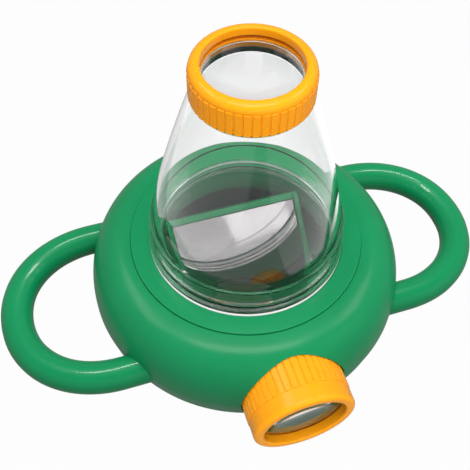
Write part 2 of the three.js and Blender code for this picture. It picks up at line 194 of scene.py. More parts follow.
def modify(piece: Piece, kind: str, **settings: object) -> None:
    """Adds a modifier and applies it.

    Args:
        piece: The piece to change.
        kind: The modifier's type.
        settings: Values for the modifier's properties.
    """
    take(piece)
    bpy.ops.object.modifier_add(type=kind)
    modifier = piece.modifiers[-1]
    for name, value in settings.items():
        setattr(modifier, name, value)
    bpy.ops.object.modifier_apply(modifier=modifier.name)


def settle(piece: Piece) -> Piece:
    """Moves a piece's place, turn and scale into its mesh.

    Args:
        piece: The placed piece.

    Returns:
        The same piece, with its object at the origin.
    """
    take(piece)
    bpy.ops.object.transform_apply(location=True, rotation=True, scale=True)
    return piece


def smooth(piece: Piece, degrees: float = 32.0) -> Piece:
    """Shades a piece smooth, apart from its sharp edges, and keeps its broad flat faces flat.

    Args:
        piece: The finished piece.
        degrees: The angle above which an edge stays sharp.

    Returns:
        The same piece.
    """
    take(piece)
    bpy.ops.object.shade_smooth_by_angle(angle=math.radians(degrees))
    modify(piece, "WEIGHTED_NORMAL", mode="FACE_AREA", keep_sharp=True)
    return piece


def round_edges(piece: Piece, width: float, degrees: float) -> None:
    """Rounds the edges of a piece that are sharper than an angle, to a width in millimetres."""
    angle = math.radians(degrees)
    settings = {"limit_method": "ANGLE", "angle_limit": angle, "use_clamp_overlap": True}
    modify(piece, "BEVEL", width=width * MM, segments=3, **settings)


def combine(piece: Piece, tool: Piece, what: Tool = Tool.CUT) -> None:
    """Cuts or joins a piece with a tool, which is used up."""
    modify(piece, "BOOLEAN", operation=what.value, object=tool, solver="EXACT")
    bpy.data.objects.remove(tool)


@dataclass(frozen=True)
class Corner:
    """One corner of a turned profile.

    Attributes:
        r: Distance from the axis in millimetres.
        z: Height in millimetres.
        cut: How far from the corner its rounding starts, or 0 for a sharp corner.
    """

    r: float
    z: float
    cut: float = 0.0

    @property
    def place(self) -> Vector:
        """Place of the corner in metres."""
        return Vector((self.r * MM, 0.0, self.z * MM))


def quarter(
    centre: Corner, width: float, height: float, start: float, end: float, count: int, fullness: float = 2.0
) -> list[Corner]:
    """Corners along a stretch of a quarter of an ellipse.

    Args:
        centre: Middle of the ellipse.
        width: Half its width.
        height: Half its height.
        start: Angle of the first corner in degrees, from the outward side.
        end: Angle of the last corner in degrees.
        count: Number of steps.
        fullness: 2 for a true ellipse, more for a fuller shoulder.

    Returns:
        The corners, with both ends.
    """
    power = 2.0 / fullness
    angles = (math.radians(start + (end - start) * i / count) for i in range(count + 1))
    shares = [(max(math.cos(a), 0.0) ** power, max(math.sin(a), 0.0) ** power) for a in angles]
    return [Corner(centre.r + width * out, centre.z + height * up) for out, up in shares]


def cap(centre: Corner, radius: float, bulge: float, count: int) -> list[Corner]:
    """Corners of a lens face, from its middle on the axis out to its rim.

    Args:
        centre: Middle of the flat face that it bulges from.
        radius: Radius of the rim.
        bulge: How far the middle stands out, below 0 for downwards.
        count: Number of steps.

    Returns:
        The corners, on one circle.
    """
    bend = (radius**2 + bulge**2) / (2 * abs(bulge))
    widest = math.asin(radius / bend)
    angles = [widest * i / count for i in range(count + 1)]
    side = math.copysign(1.0, bulge)
    return [
        Corner(centre.r + bend * math.sin(a), centre.z + bulge + side * bend * (math.cos(a) - 1.0))
        for a in angles
    ]


def turned(name: str, corners: list[Corner], steps: int = 144, segments: int = 4) -> Piece:
    """Turns a profile about the Z axis, as on a lathe.

    Args:
        name: Name of the piece.
        corners: Profile, which starts and ends on the axis or closes on itself.
        steps: Faces round the piece.
        segments: Faces across each rounded corner.

    Returns:
        The turned piece, with its axis on Z.
    """
    clear_selection()
    bpy.ops.mesh.primitive_plane_add(size=MM)
    piece = bpy.context.object
    piece.name = name
    with editing(piece):
        bpy.ops.mesh.select_mode(type="VERT")
        bpy.ops.mesh.select_all(action="SELECT")
        bpy.ops.mesh.merge(type="CENTER")
        bpy.ops.transform.translate(value=corners[0].place)
        for here, there in pairwise(corners):
            move = {"value": there.place - here.place}
            bpy.ops.mesh.extrude_vertices_move(TRANSFORM_OT_translate=move)
        if corners[0].place.x > WELD:
            ends = (corners[0].place, corners[-1].place)
            pick(piece, Part.VERTEX, lambda vertex: any((vertex.co - end).length < WELD for end in ends))
            bpy.ops.mesh.edge_face_add()
        for corner in corners:
            if corner.cut:
                pick(piece, Part.VERTEX, lambda vertex, at=corner.place: (vertex.co - at).length < WELD)
                bpy.ops.mesh.bevel(affect="VERTICES", offset=corner.cut * MM, segments=segments)
        bpy.ops.mesh.select_all(action="SELECT")
        bpy.ops.mesh.spin(steps=steps, angle=math.tau, center=(0, 0, 0), axis=(0, 0, 1))
        close_up()
    return piece


def rod(radius: float, start: Vector, end: Vector, sides: int = 32) -> Piece:
    """Makes a plain round rod, as a boss or as a drill, in millimetres.

    Args:
        radius: Radius of the rod.
        start: Middle of one end.
        end: Middle of the other end.
        sides: Faces round the rod.

    Returns:
        The rod, with its place in its mesh.
    """
    along = end - start
    clear_selection()
    bpy.ops.mesh.primitive_cylinder_add(
        vertices=sides,
        radius=radius * MM,
        depth=along.length * MM,
        location=(start + end) * (MM / 2),
        rotation=along.to_track_quat("Z", "Y").to_euler(),
    )
    return settle(bpy.context.object)


def four_corners(x: float, y: float) -> Places:
    """Corners of a rectangle about the Z axis, in millimetres."""
    return ((x, y), (-x, y), (-x, -y), (x, -y))


# Finishes.


@dataclass
class NodeTree:
    """The shader nodes of a material or of the world, which starts with none."""

    owner: bpy.types.ID

    def __post_init__(self) -> None:
        """Clears the owner's nodes."""
        self.owner.use_nodes = True
        self.owner.node_tree.nodes.clear()

    def add(self, kind: str, values: Values | None = None, **settings: object) -> bpy.types.Node:
        """Adds a node.

        Args:
            kind: The node's type.
            values: Values or output sockets, by the name or number of the input that they go to.
            settings: Values for the node's own properties.

        Returns:
            The node.
        """
        node = self.owner.node_tree.nodes.new(kind)
        for name, value in settings.items():
            setattr(node, name, value)
        for name, value in (values or {}).items():
            if isinstance(value, Socket):
                self.owner.node_tree.links.new(value, node.inputs[name])
            else:
                node.inputs[name].default_value = value
        return node

    def noise(self, scale: float, detail: float) -> Socket:
        """Adds a noise on the piece's own coordinates, with its scale in turns a metre."""
        coordinates = self.add("ShaderNodeTexCoord").outputs["Object"]
        values = {"Vector": coordinates, "Scale": scale, "Detail": detail}
        return self.add("ShaderNodeTexNoise", values).outputs["Fac"]

    def mapped(
        self, value: Socket, source: Span, low: float, high: float | Socket, **settings: object
    ) -> Socket:
        """Maps a value from a range to another, from low to high."""
        values = {"Value": value, "From Min": source[0], "From Max": source[1], "To Min": low, "To Max": high}
        return self.add("ShaderNodeMapRange", values, **settings).outputs["Result"]

    def tint(self, share: Socket, first: Colour, second: Colour) -> Socket:
        """Mixes two colours, with a share of 0 for the first and 1 for the second."""
        values = {0: share, 6: (*first, 1.0), 7: (*second, 1.0)}
        return self.add("ShaderNodeMix", values, data_type="RGBA").outputs[2]

    def bump(self, height: Socket, strength: float, depth: float) -> Socket:
        """Turns a height from 0 to 1 into a normal, with its depth in millimetres."""
        values = {"Height": height, "Strength": strength, "Distance": depth * MM}
        return self.add("ShaderNodeBump", values).outputs["Normal"]

    def total(self, first: Socket, second: Socket | float, way: Sum = Sum.ADD) -> Socket:
        """Puts two values together and keeps the result from 0 to 1."""
        values = {0: first, 1: second}
        return self.add("ShaderNodeMath", values, operation=way.value, use_clamp=True).outputs[0]

    def seen(self) -> Socket:
        """1 for what the camera sees, by itself, in gloss or through clear plastic, and 0 for light."""
        path = self.add("ShaderNodeLightPath").outputs
        in_sight = self.total(path["Is Camera Ray"], path["Is Glossy Ray"])
        return self.total(in_sight, path["Is Transmission Ray"])

    def level_in_gloss(self, level: float) -> Socket:
        """A level for what shows in the gloss of coloured plastic, and 1 for the rest."""
        path = self.add("ShaderNodeLightPath").outputs
        in_gloss = self.total(path["Is Glossy Ray"], path["Is Transmission Ray"], Sum.LESS)
        return self.mapped(in_gloss, UNIT, 1.0, level)

    def show(self, surface: Socket) -> Material:
        """Sends a shader to the output and returns the finished material."""
        self.add("ShaderNodeOutputMaterial", {"Surface": surface})
        return self.owner


@dataclass(frozen=True)
class MouldedPlastic:
    """Glossy coloured plastic with faint flow marks and a fine moulded skin.

    Attributes:
        colour: Main colour.
        flow_colour: Colour of the faint flow marks.
        roughness: Lowest and highest roughness.
        shine: Specular level.
        polish: Weight of the clear skin on top.
        polish_roughness: Roughness of that skin.
        skin_depth: Depth of the moulded grain in millimetres.
    """

    name: str
    colour: Colour
    flow_colour: Colour
    roughness: Span
    shine: float
    polish: float
    polish_roughness: float
    flow_scale: float = 38.0
    wear_scale: float = 260.0
    skin_scale: float = 2400.0
    skin_strength: float = 0.12
    skin_depth: float = 0.02

    def build(self) -> Material:
        """Builds the material."""
        tree = NodeTree(bpy.data.materials.new(self.name))
        flow = tree.mapped(tree.noise(self.flow_scale, detail=3.0), NOISE_MIDDLE, *UNIT)
        values = {
            "Base Color": tree.tint(flow, self.colour, self.flow_colour),
            "Roughness": tree.mapped(tree.noise(self.wear_scale, detail=3.0), NOISE_MIDDLE, *self.roughness),
            "Specular IOR Level": self.shine,
            "Coat Weight": self.polish,
            "Coat Roughness": self.polish_roughness,
            "Normal": tree.bump(tree.noise(self.skin_scale, detail=1.0), self.skin_strength, self.skin_depth),
        }
        return tree.show(tree.add("ShaderNodeBsdfPrincipled", values).outputs["BSDF"])


@dataclass(frozen=True)
class ClearPlastic:
    """Clear moulded plastic that lets the lamps through.

    Attributes:
        colour: Tint of the plastic.
        index: Index of refraction.
        haze: Lowest and highest roughness, where fingers and moulding leave a faint haze.
        waves: Depth of the moulding's waves in millimetres.
        shade: What one face lets through of a lamp's light.
    """

    name: str
    colour: Colour
    index: float
    haze: Span
    waves: float
    shade: float
    haze_scale: float = 120.0
    wave_scale: float = 60.0
    wave_strength: float = 0.3

    def build(self) -> Material:
        """Builds the material."""
        tree = NodeTree(bpy.data.materials.new(self.name))
        values = {
            "Base Color": (*self.colour, 1.0),
            "Roughness": tree.mapped(tree.noise(self.haze_scale, detail=4.0), NOISE_MIDDLE, *self.haze),
            "IOR": self.index,
            "Transmission Weight": 1.0,
            "Normal": tree.bump(tree.noise(self.wave_scale, detail=1.0), self.wave_strength, self.waves),
        }
        clear = tree.add("ShaderNodeBsdfPrincipled", values).outputs["BSDF"]
        path = tree.add("ShaderNodeLightPath").outputs
        lamp_or_bounce = tree.total(path["Is Shadow Ray"], path["Is Diffuse Ray"])
        tone = (self.shade, self.shade, self.shade, 1.0)
        open_way = tree.add("ShaderNodeBsdfTransparent", {"Color": tone}).outputs["BSDF"]
        mix = tree.add("ShaderNodeMixShader", {0: lamp_or_bounce, 1: clear, 2: open_way})
        return tree.show(mix.outputs["Shader"])


@dataclass(frozen=True)
class BareMetal:
    """Silvered mirror or plated steel with faint smears.

    Attributes:
        colour: Colour of the metal.
        smear_colour: Colour where it is smeared.
        roughness: Lowest and highest roughness.
        smear_scale: Size of the smears, in turns a metre.
    """

    name: str
    colour: Colour
    smear_colour: Colour
    roughness: Span
    smear_scale: float

    def build(self) -> Material:
        """Builds the material."""
        tree = NodeTree(bpy.data.materials.new(self.name))
        smear = tree.noise(self.smear_scale, detail=4.0)
        smeared = tree.mapped(smear, NOISE_MIDDLE, *UNIT)
        values = {
            "Base Color": tree.tint(smeared, self.colour, self.smear_colour),
            "Metallic": 1.0,
            "Roughness": tree.mapped(smear, NOISE_MIDDLE, *self.roughness),
        }
        return tree.show(tree.add("ShaderNodeBsdfPrincipled", values).outputs["BSDF"])


@dataclass(frozen=True)
class StudioFloor:
    """White sweep that keeps a soft shadow.

    Attributes:
        whiteness: Share of light that the sweep throws back.
        glow: Share of plain white that the camera sees in it.
        glossy_level: Level of that white in the gloss of coloured plastic.
    """

    name: str = "white_sweep"
    whiteness: float = 0.16
    glow: float = 0.98
    glossy_level: float = 0.30

    def build(self) -> Material:
        """Builds the material."""
        tree = NodeTree(bpy.data.materials.new(self.name))
        tone = (self.whiteness, self.whiteness, self.whiteness, 1.0)
        matt = tree.add("ShaderNodeBsdfDiffuse", {"Color": tone}).outputs["BSDF"]
        strength = {"Strength": tree.level_in_gloss(self.glossy_level)}
        white = tree.add("ShaderNodeEmission", strength).outputs["Emission"]
        share = tree.total(tree.seen(), self.glow, Sum.TIMES)
        mix = tree.add("ShaderNodeMixShader", {0: share, 1: matt, 2: white})
        return tree.show(mix.outputs["Shader"])


FINISHES = {
    Slot.GREEN: MouldedPlastic(
        "green_moulding", (0.0048, 0.245, 0.085), (0.0056, 0.268, 0.095), (0.30, 0.36), 0.27, 0.16, 0.15
    ),
    Slot.YELLOW: MouldedPlastic(
        "yellow_moulding", (1.0, 0.36, 0.004), (1.0, 0.38, 0.006), (0.26, 0.32), 0.22, 0.20, 0.05
    ),
    Slot.CLEAR: ClearPlastic("clear_moulding", (0.995, 0.998, 0.997), 1.37, (0.0, 0.01), 0.01, 0.93),
    Slot.LENS: ClearPlastic("lens_moulding", (0.99, 0.99, 0.995), 1.45, (0.0, 0.01), 0.0, 0.95),
    Slot.MIRROR: BareMetal("silvered_sheet", (0.475, 0.452, 0.461), (0.45, 0.43, 0.438), (0.04, 0.08), 45.0),
    Slot.STEEL: BareMetal("plated_steel", (0.62, 0.62, 0.60), (0.50, 0.50, 0.49), (0.22, 0.38), 900.0),
}
POLISHED_GREEN = replace(
    FINISHES[Slot.GREEN],
    name="polished_green",
    roughness=(0.28, 0.34),
    shine=0.20,
    polish=0.32,
    polish_roughness=0.05,
)


@dataclass
class Workshop:
    """Dresses finished pieces and mounts them on the frame.

    Attributes:
        materials: Material of each slot.
        polished_green: Finish of the handles.
    """

    materials: dict[Slot, Material]
    polished_green: Material

    def mount(
        self, piece: Piece, body: Body, slot: Slot, *nodes: str, finish: Material | None = None
    ) -> None:
        """Gives a piece its finish and its body, in place of CAD nodes.

        Args:
            piece: The finished piece, with its place in its mesh.
            body: The body that it rides on.
            slot: Its material slot.
            nodes: The CAD nodes that it stands for.
            finish: Its material, where that isn't the slot's own.
        """
        piece.data.materials.clear()
        piece.data.materials.append(finish or self.materials[slot])
        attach(piece, body.value)
        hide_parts(*nodes)
        LOG.info("%s: %d faces, for %s", piece.name, len(piece.data.polygons), ", ".join(nodes))


# Sub-assemblies.


@dataclass
class Housing:
    """Domed upper shell, base pan and what stands inside them, in millimetres.

    Attributes:
        radius: Radius at the widest line, which is as high as widest says.
        seam_inset: How far the seam lies inside the widest line.
        dome_top: Top of the dome, round the seat ring's pocket.
        fullness: How full its shoulder is, from 2 for an ellipse.
        ledge_under: Height of the underside of the ledge round the opening.
    """

    shop: Workshop
    radius: float = 65.0
    widest: float = 20.0
    wall: float = 2.6
    seam: float = 12.0
    seam_inset: float = 1.3
    dome_top: float = 45.2
    fullness: float = 2.3
    pocket_radius: float = 47.0
    pocket_floor: float = 43.0
    opening_radius: float = 43.0
    ledge_under: float = 40.4
    ledge_width: float = 6.5
    gap: float = 0.3
    base_radius: float = 54.0
    floor: float = 2.5
    lip_height: float = 2.4
    lip_wall: float = 2.0
    post_radius: float = 4.0
    post_top: float = 42.6
    posts: Places = four_corners(25.5, 43.47)
    handle_bosses: Places = four_corners(37.0, 33.85)
    handle_boss_top: float = 13.2
    foot_bosses: Places = ((33.8, 0.0), (-33.8, 0.0))
    foot_boss_top: float = 7.3
    head_recess_radius: float = 3.15
    head_recess: float = 3.0
    hole_radius: float = 1.75
    axis_height: float = 21.3
    ring_opening: float = 21.2
    ring_opening_back: float = 53.95
    barrel_radius: float = 18.2
    bar_radius: float = 6.5
    bar_spread: float = 33.85
    bar_gap: float = 0.05
    drill_start: float = -1.0
    drill_end: float = 50.0
    dome_steps: int = 36
    lining_steps: int = 12
    lining_start: float = 84.0

    def side_drill(self, radius: float, back: float) -> Piece:
        """Drill along the side eyepiece's axis, from a depth out through the wall."""
        start = Vector((0.0, -back, self.axis_height))
        end = Vector((0.0, -2.0 * self.radius, self.axis_height))
        return rod(radius, start, end, 128)

    def cut_openings(self, piece: Piece) -> None:
        """Cuts the side ring's pocket and the holes for the handles' ends into a shell."""
        combine(piece, self.side_drill(self.ring_opening, self.ring_opening_back))
        reach = 1.5 * self.radius
        for y in (-self.bar_spread, self.bar_spread):
            start, end = (Vector((x, y, self.widest)) for x in (-reach, reach))
            combine(piece, rod(self.bar_radius + self.bar_gap, start, end, 96))

    def domed_shell(self) -> Piece:
        """Upper shell: a short draft up to the widest line, then the dome, down into the pocket."""
        shoulder = Corner(self.pocket_radius + self.gap, self.widest)
        width = self.radius - shoulder.r
        rise = self.dome_top - self.widest
        bottom = self.seam + self.gap / 2
        seam_radius = self.radius - self.seam_inset
        ledge_end = self.opening_radius + self.ledge_width
        outside = quarter(shoulder, width, rise, 0.0, 90.0, self.dome_steps, self.fullness)
        width, rise = width - self.wall, rise - self.wall
        inside = quarter(shoulder, width, rise, self.lining_start, 0.0, self.lining_steps, self.fullness)
        profile = [
            Corner(seam_radius, bottom, 0.25),
            *outside,
            Corner(self.pocket_radius, self.dome_top, 0.12),
            Corner(self.pocket_radius, self.pocket_floor),
            Corner(self.opening_radius, self.pocket_floor, 0.3),
            Corner(self.opening_radius, self.ledge_under, 0.3),
            Corner(ledge_end, self.ledge_under),
            *[corner for corner in inside if corner.r > ledge_end],
            Corner(seam_radius - self.wall, bottom),
        ]
        piece = turned("domed_shell", profile, steps=240)
        for x, y in self.posts:
            post = rod(self.post_radius, Vector((x, y, bottom)), Vector((x, y, self.post_top)))
            combine(piece, post, Tool.JOIN)
        self.cut_openings(piece)
        return smooth(piece)

    def base_pan(self) -> Piece:
        """Lower shell: flat floor, flared wall and seam lip, with its bosses and screw holes."""
        top = self.seam - self.gap / 2
        seam_radius = self.radius - self.seam_inset
        lip = seam_radius - self.wall - self.gap
        profile = [
            Corner(0.0, 0.0),
            Corner(self.base_radius, 0.0, 0.8),
            Corner(seam_radius, top, 0.25),
            Corner(lip, top),
            Corner(lip, top + self.lip_height, 0.3),
            Corner(lip - self.lip_wall, top + self.lip_height, 0.3),
            Corner(lip - self.lip_wall, top - self.lip_wall),
            Corner(self.base_radius - self.wall / 2, self.floor, 0.6),
            Corner(0.0, self.floor),
        ]
        piece = turned("base_pan", profile, steps=200)
        bosses = [
            *((x, y, top) for x, y in self.posts),
            *((x, y, self.handle_boss_top) for x, y in self.handle_bosses),
            *((x, y, self.foot_boss_top) for x, y in self.foot_bosses),
        ]
        for x, y, height in bosses:
            boss = rod(self.post_radius, Vector((x, y, self.floor / 2)), Vector((x, y, height)))
            combine(piece, boss, Tool.JOIN)
        combine(piece, self.side_drill(self.barrel_radius + self.gap, 0.0))
        self.cut_openings(piece)
        for x, y in self.posts + self.handle_bosses:
            below = Vector((x, y, self.drill_start))
            combine(piece, rod(self.hole_radius, below, Vector((x, y, self.drill_end))))
            combine(piece, rod(self.head_recess_radius, below, Vector((x, y, self.head_recess)), 48))
        return smooth(piece)

    def build(self) -> None:
        """Builds and mounts both shells."""
        self.shop.mount(self.domed_shell(), Body.HOUSING, Slot.GREEN, "upper_housing")
        self.shop.mount(self.base_pan(), Body.HOUSING, Slot.GREEN, "lower_housing")


@dataclass
class Handles:
    """The two loop handles: round bars along half of a rounded oval, in millimetres."""

    shop: Workshop
    bar_radius: float = 6.5
    spread: float = 33.85
    reach: float = 37.1
    start: float = 61.0
    end: float = 33.0
    roundness: float = 2.1
    height: float = 20.0
    steps: int = 96
    bar_steps: int = 10

    def route(self) -> list[Vector]:
        """Centre line of the right handle, from one end in the shell to the other."""
        power = 2.0 / self.roundness
        bend = []
        for i in range(self.steps + 1):
            angle = math.pi * (i / self.steps - 0.5)
            out = self.start + self.reach * max(math.cos(angle), 0.0) ** power
            across = math.copysign(self.spread * abs(math.sin(angle)) ** power, angle)
            bend.append(Vector((out, across, self.height)))
        ends = [Vector((self.end, side * self.spread, self.height)) for side in (-1.0, 1.0)]
        return [ends[0], *bend, ends[1]]

    def loop(self, name: str, side: float) -> Piece:
        """Handle on one side.

        Args:
            name: Name of the piece.
            side: 1 for the right handle, -1 for the left one.

        Returns:
            The handle.
        """
        curve = bpy.data.curves.new(name, "CURVE")
        curve.dimensions = "3D"
        curve.twist_mode = "Z_UP"
        curve.bevel_depth = self.bar_radius * MM
        curve.bevel_resolution = self.bar_steps
        curve.use_fill_caps = True
        route = self.route()
        spline = curve.splines.new("POLY")
        spline.points.add(len(route) - 1)
        for point, place in zip(spline.points, route):
            point.co = (side * place.x * MM, side * place.y * MM, place.z * MM, 1.0)
        piece = bpy.data.objects.new(name, curve)
        bpy.context.scene.collection.objects.link(piece)
        take(piece)
        bpy.ops.object.convert(target="MESH")
        piece = bpy.context.object
        with editing(piece):
            close_up()
        return smooth(piece)

    def build(self) -> None:
        """Builds and mounts both handles."""
        for side, sign in (("right", 1.0), ("left", -1.0)):
            piece, node = self.loop(f"{side}_loop", sign), f"{side}_handle"
            self.shop.mount(piece, Body.HOUSING, Slot.GREEN, node, finish=self.shop.polished_green)


@dataclass
class Deck:
    """Seat ring with the well, and the clear cup on it, in millimetres."""

    shop: Workshop
    deck: float = 46.0
    seat_radius: float = 46.9
    seat_under: float = 43.3
    shelf: float = 45.3
    plate_under: float = 42.6
    recess_radius: float = 39.6
    well_radius: float = 37.0
    well_wall: float = 1.8
    well_bottom: float = 30.0
    spigot_radius: float = 42.7
    spigot_wall: float = 1.5
    spigot_bottom: float = 40.4
    window_radius: float = 16.7
    axis_height: float = 21.3
    cup_bottom: float = 45.6
    cup_floor: float = 48.0
    cup_corner: float = 35.6
    cup_ledge: float = 50.0
    cup_inside: float = 36.9
    cup_outside: float = 38.3
    cup_top: float = 59.3
    flange_radius: float = 39.3
    flange_top: float = 49.6
    plug_radius: float = 36.7
    plug_wall: float = 1.6
    plug_bottom: float = 43.6

    def seat_collar(self) -> Piece:
        """Raised ring on the deck, with the shelf of the cup and the wall of the well."""
        well_outside = self.well_radius + self.well_wall
        spigot_inside = self.spigot_radius - self.spigot_wall
        profile = [
            Corner(self.well_radius, self.well_bottom),
            Corner(well_outside, self.well_bottom),
            Corner(well_outside, self.plate_under),
            Corner(spigot_inside, self.plate_under),
            Corner(spigot_inside, self.spigot_bottom),
            Corner(self.spigot_radius, self.spigot_bottom),
            Corner(self.spigot_radius, self.seat_under),
            Corner(self.seat_radius, self.seat_under),
            Corner(self.seat_radius, self.deck, 0.35),
            Corner(self.recess_radius, self.deck, 0.25),
            Corner(self.recess_radius, self.shelf),
            Corner(self.well_radius, self.shelf, 0.25),
        ]
        piece = turned("seat_collar", profile, steps=200)
        start = Vector((0.0, 0.0, self.axis_height))
        end = Vector((0.0, -self.seat_radius, self.axis_height))
        combine(piece, rod(self.window_radius, start, end, 96))
        return smooth(piece)

    def clear_cup(self) -> Piece:
        """Clear floor of the chamber, with its flange, its rim and the plug ring under it."""
        plug_inside = self.plug_radius - self.plug_wall
        profile = [
            Corner(0.0, self.cup_bottom),
            Corner(plug_inside, self.cup_bottom, 0.3),
            Corner(plug_inside, self.plug_bottom, 0.3),
            Corner(self.plug_radius, self.plug_bottom, 0.3),
            Corner(self.plug_radius, self.cup_bottom, 0.2),
            Corner(self.flange_radius, self.cup_bottom, 0.3),
            Corner(self.flange_radius, self.flange_top, 0.35),
            Corner(self.cup_outside, self.flange_top, 0.2),
            Corner(self.cup_outside, self.cup_top, 0.6),
            Corner(self.cup_inside, self.cup_top, 0.6),
            Corner(self.cup_inside, self.cup_ledge),
            Corner(self.cup_corner, self.cup_ledge, 0.3),
            Corner(self.cup_corner, self.cup_floor, 1.5),
            Corner(0.0, self.cup_floor),
        ]
        piece = turned("clear_cup", profile, steps=180, segments=5)
        return smooth(piece)

    def build(self) -> None:
        """Builds and mounts the seat ring and the cup."""
        self.shop.mount(self.seat_collar(), Body.HOUSING, Slot.GREEN, "seat_ring")
        self.shop.mount(self.clear_cup(), Body.HOUSING, Slot.CLEAR, "chamber_cup")


@dataclass
class Chamber:
    """Clear tapered chamber with a shoulder and a neck, in millimetres."""

    shop: Workshop
    foot: float = 50.3
    radius: float = 36.6
    wall: float = 1.8
    straight: float = 9.5
    swell: float = 13.0
    shoulder: float = 121.8
    shoulder_radius: float = 20.3
    neck_radius: float = 18.2
    neck_top: float = 126.4
    steps: int = 28

    def side(self, inset: float) -> list[Corner]:
        """Side between the straight foot and the shoulder, on a curve that leaves the foot upright.

        Args:
            inset: How far inside the outer face, in millimetres.

        Returns:
            The corners, from the foot up.
        """
        start = Vector((self.radius - inset, self.foot + self.straight))
        bend = start + Vector((0.0, self.swell))
        end = Vector((self.shoulder_radius - inset, self.shoulder - inset))
        corners = []
        for i in range(self.steps + 1):
            t = i / self.steps
            place = start * (1 - t) ** 2 + bend * (2 * t * (1 - t)) + end * t**2
            corners.append(Corner(place.x, place.y))
        return corners

    def build(self) -> None:
        """Builds and mounts the chamber."""
        neck_inside = self.neck_radius - self.wall
        outside, inside = self.side(0.0), self.side(self.wall)
        outside[-1] = replace(outside[-1], cut=0.5)
        inside[-1] = replace(inside[-1], cut=0.8)
        profile = [
            Corner(self.radius - self.wall, self.foot, 0.2),
            Corner(self.radius, self.foot, 0.2),
            *outside,
            Corner(self.neck_radius, self.shoulder),
            Corner(self.neck_radius, self.neck_top, 0.3),
            Corner(neck_inside, self.neck_top, 0.3),
            Corner(neck_inside, self.shoulder - self.wall, 0.4),
            *reversed(inside),
        ]
        piece = turned("clear_chamber", profile, steps=180)
        self.shop.mount(smooth(piece), Body.CHAMBER, Slot.CLEAR, "viewing_chamber")


@dataclass
class Eyepiece:
    """Fluted ring with its lens and snap ring, in millimetres, in its own frame.

    The ring's face is at z = 0, and the ring runs down to -length.

    Attributes:
        name: First word of the names of its pieces.
        place: Middle of the ring's face in the part's frame.
        tilt: Turn about X that brings the ring's axis to its place, in degrees.
    """

    shop: Workshop
    name: str
    seat_body: Body
    ring_body: Body
    place: Vector
    tilt: float
    length: float
    lip_depth: float
    crown_width: float
    crown_depth: float
    collar: float
    lens_front_bulge: float
    lens_back_bulge: float
    lens_radius: float = 18.2
    lens_edge: float = 2.2
    bore: float = 18.5
    aperture: float = 16.5
    crest: float = 20.7
    collar_radius: float = 20.4
    groove_depth: float = 0.5
    flute_rise: float = 0.3
    gap: float = 0.3
    retainer: float = 1.5
    flutes: int = 46
    columns: int = 5
    crown_steps: int = 12
    lens_steps: int = 24

    def placed(self, piece: Piece) -> Piece:
        """Moves a piece from the eyepiece's frame to the part's frame."""
        piece.rotation_euler = (math.radians(self.tilt), 0.0, 0.0)
        piece.location = self.place * MM
        return settle(piece)

    def fluted_ring(self) -> Piece:
        """Ring with a rounded crown, a plain collar and flat ribs between narrow grooves."""
        groove = self.crest - self.groove_depth
        flute_top = -self.collar - self.flute_rise
        crown = Corner(self.collar_radius - self.crown_width, -self.crown_depth)
        profile = [
            Corner(self.bore, -self.lip_depth),
            Corner(self.bore, -self.length, 0.2),
            Corner(groove, -self.length),
            Corner(groove, flute_top),
            Corner(self.collar_radius, -self.collar),
            *quarter(crown, self.crown_width, self.crown_depth, 0.0, 90.0, self.crown_steps),
            Corner(self.aperture, 0.0, 0.8),
            Corner(self.aperture, -self.lip_depth, 0.2),
        ]
        piece = turned(f"{self.name}_fluted_ring", profile, steps=self.flutes * self.columns, segments=5)

        def on_rib(face: bmesh.types.BMFace) -> bool:
            """True for a face of the grooved wall that a rib stands on."""
            middle = face.calc_center_median() / MM
            outwards = face.normal.x * middle.x + face.normal.y * middle.y > 0
            upright = abs(face.normal.z) < UPRIGHT_SLOPE and outwards
            on_wall = upright and -self.length < middle.z < flute_top
            on_wall = on_wall and math.hypot(middle.x, middle.y) > (self.bore + groove) / 2
            turn = math.atan2(middle.y, middle.x) % math.tau / math.tau
            return on_wall and math.floor(turn * self.flutes * self.columns) % self.columns != 0

        with editing(piece):
            pick(piece, Part.FACE, on_rib)
            rise = {"value": self.groove_depth * MM}
            bpy.ops.mesh.extrude_region_shrink_fatten(TRANSFORM_OT_shrink_fatten=rise)
        round_edges(piece, width=0.2, degrees=40.0)
        return self.placed(smooth(piece, degrees=35.0))

    def magnifier(self) -> Piece:
        """Lens with a flat rim under the lip and both faces domed."""
        front = -self.lip_depth - self.gap
        back = front - self.lens_edge
        dome = self.aperture - self.gap
        profile = [
            *cap(Corner(0.0, back), dome, -self.lens_back_bulge, self.lens_steps),
            Corner(self.lens_radius, back, 0.2),
            Corner(self.lens_radius, front, 0.2),
            *reversed(cap(Corner(0.0, front), dome, self.lens_front_bulge, self.lens_steps)),
        ]
        piece = turned(f"{self.name}_magnifier", profile)
        return self.placed(smooth(piece, degrees=25.0))

    def snap_ring(self) -> Piece:
        """Ring that keeps the lens in its seat."""
        front = -self.lip_depth - self.lens_edge - 2 * self.gap
        back = front - self.retainer
        profile = [
            Corner(self.aperture, back, 0.3),
            Corner(self.lens_radius, back, 0.3),
            Corner(self.lens_radius, front, 0.3),
            Corner(self.aperture, front, 0.3),
        ]
        piece = turned(f"{self.name}_snap_ring", profile)
        return self.placed(smooth(piece))

    def build(self) -> None:
        """Builds and mounts the ring, the lens and the snap ring."""
        self.shop.mount(self.fluted_ring(), self.ring_body, Slot.YELLOW, f"{self.name}_lens_ring")
        self.shop.mount(self.magnifier(), self.seat_body, Slot.LENS, f"{self.name}_lens")
        self.shop.mount(self.snap_ring(), self.seat_body, Slot.YELLOW, f"{self.name}_lens_retainer")


